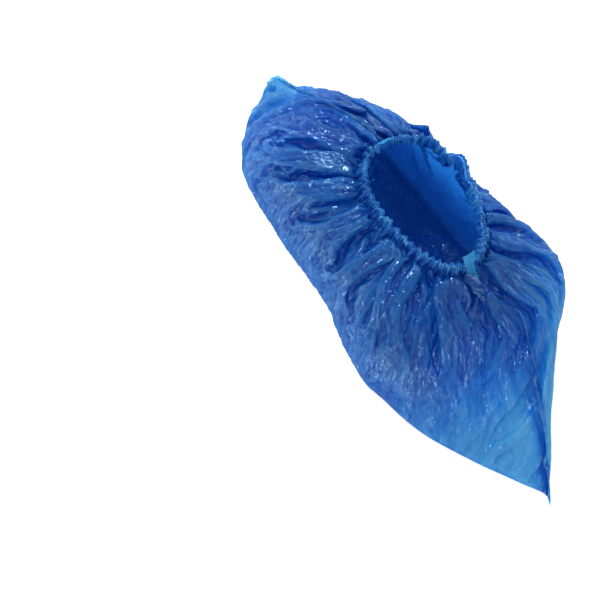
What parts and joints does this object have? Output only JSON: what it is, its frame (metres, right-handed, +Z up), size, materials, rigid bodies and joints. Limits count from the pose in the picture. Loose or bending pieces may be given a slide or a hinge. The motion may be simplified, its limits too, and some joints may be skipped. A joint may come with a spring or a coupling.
{
  "type": "disposable shoe cover",
  "caption": "Disposable over-shoe: a folded bag of thin blue plastic film, welded at heel and toe, its open mouth gathered into an elastic hem.",
  "frame": {"origin": "the middle of the whole part's bounding box, on the floor that the sole rests on", "axes": "+X from heel to toe along the sole, +Y to the side with the high ruffle and the bulge of the toe, +Z up"},
  "size_m": [0.384, 0.1464, 0.0978],
  "materials": {
    "film": "thin translucent blue film with fine crinkles and soft gloss",
    "hem_film": "the same film doubled and tightly gathered, deeper blue",
    "elastic": "thin pale blue elastic under film, matte",
    "weld": "pressed weld with a fine ridge",
    "tab": "turquoise embossed weld patch"
  },
  "bodies": {
    "root": {"film_body": "film", "hem_band": "hem_film", "elastic_thread": "elastic", "heel_seam": "weld", "toe_seam": "weld", "heel_tab": "tab", "toe_tab": "tab"}
  },
  "joints": []
}
